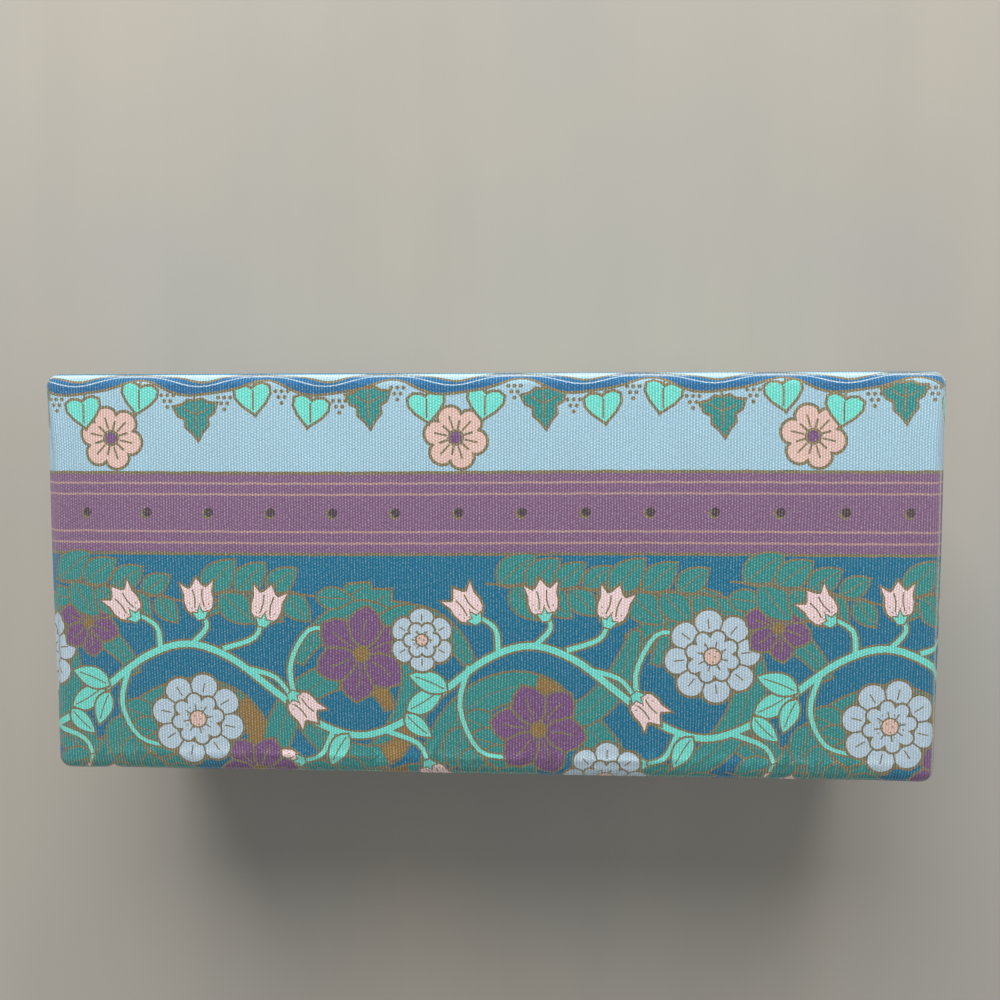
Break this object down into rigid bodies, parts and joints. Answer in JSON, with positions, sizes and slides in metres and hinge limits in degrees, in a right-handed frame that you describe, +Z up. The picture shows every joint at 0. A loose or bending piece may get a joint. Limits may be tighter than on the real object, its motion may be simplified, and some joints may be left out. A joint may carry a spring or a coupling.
{
  "type": "keepsake box",
  "caption": "Rectangular cloth-covered greyboard keepsake box with a padded lid on a cloth hinge, satin lining and a peg-and-loop clasp.",
  "frame": {"origin": "middle of the underside, on the surface the box stands on", "axes": "+Z up, +X along the box, -Y the front with the clasp, +Y the hinge side"},
  "size_m": [0.138, 0.0669, 0.05],
  "materials": {
    "printed_cotton": "printed plain-weave cotton with metallic outlines",
    "wadding": "polyester wadding",
    "greyboard": "unbleached greyboard",
    "satin": "ivory satin",
    "lining_paper": "matt laid paper",
    "bone_plastic": "polished bone-coloured resin",
    "ribbon": "woven ribbon"
  },
  "bodies": {
    "base": {"base_floor_board": "greyboard", "base_front_board": "greyboard", "base_back_board": "greyboard", "base_left_board": "greyboard", "base_right_board": "greyboard", "base_cover": "printed_cotton", "base_underside_paper": "lining_paper", "base_floor_pad": "satin", "lining_front": "satin", "lining_back": "satin", "lining_left": "satin", "lining_right": "satin", "hinge_cloth": "printed_cotton", "clasp_loop": "ribbon"},
    "lid": {"lid_cover": "printed_cotton", "lid_wadding": "wadding", "lid_top_board": "greyboard", "lid_front_board": "greyboard", "lid_back_board": "greyboard", "lid_left_board": "greyboard", "lid_right_board": "greyboard", "lid_side_lining": "satin", "lid_lining_pad": "satin", "hinge_lining": "satin", "clasp_ribbon": "ribbon"},
    "peg": {"clasp_peg": "bone_plastic"}
  },
  "joints": [
    {"name": "lid_hinge", "type": "hinge", "parent": "base", "child": "lid", "pos_m": [0, 0.0315, 0.035], "axis": [-1, 0, 0], "range_deg": [0, 100], "deforming": ["hinge_cloth", "hinge_lining"]},
    {"name": "peg_slide", "type": "slide", "parent": "lid", "child": "peg", "axis": [0, 0, 1], "range_m": [0, 0.007], "deforming": ["clasp_ribbon"]}
  ]
}
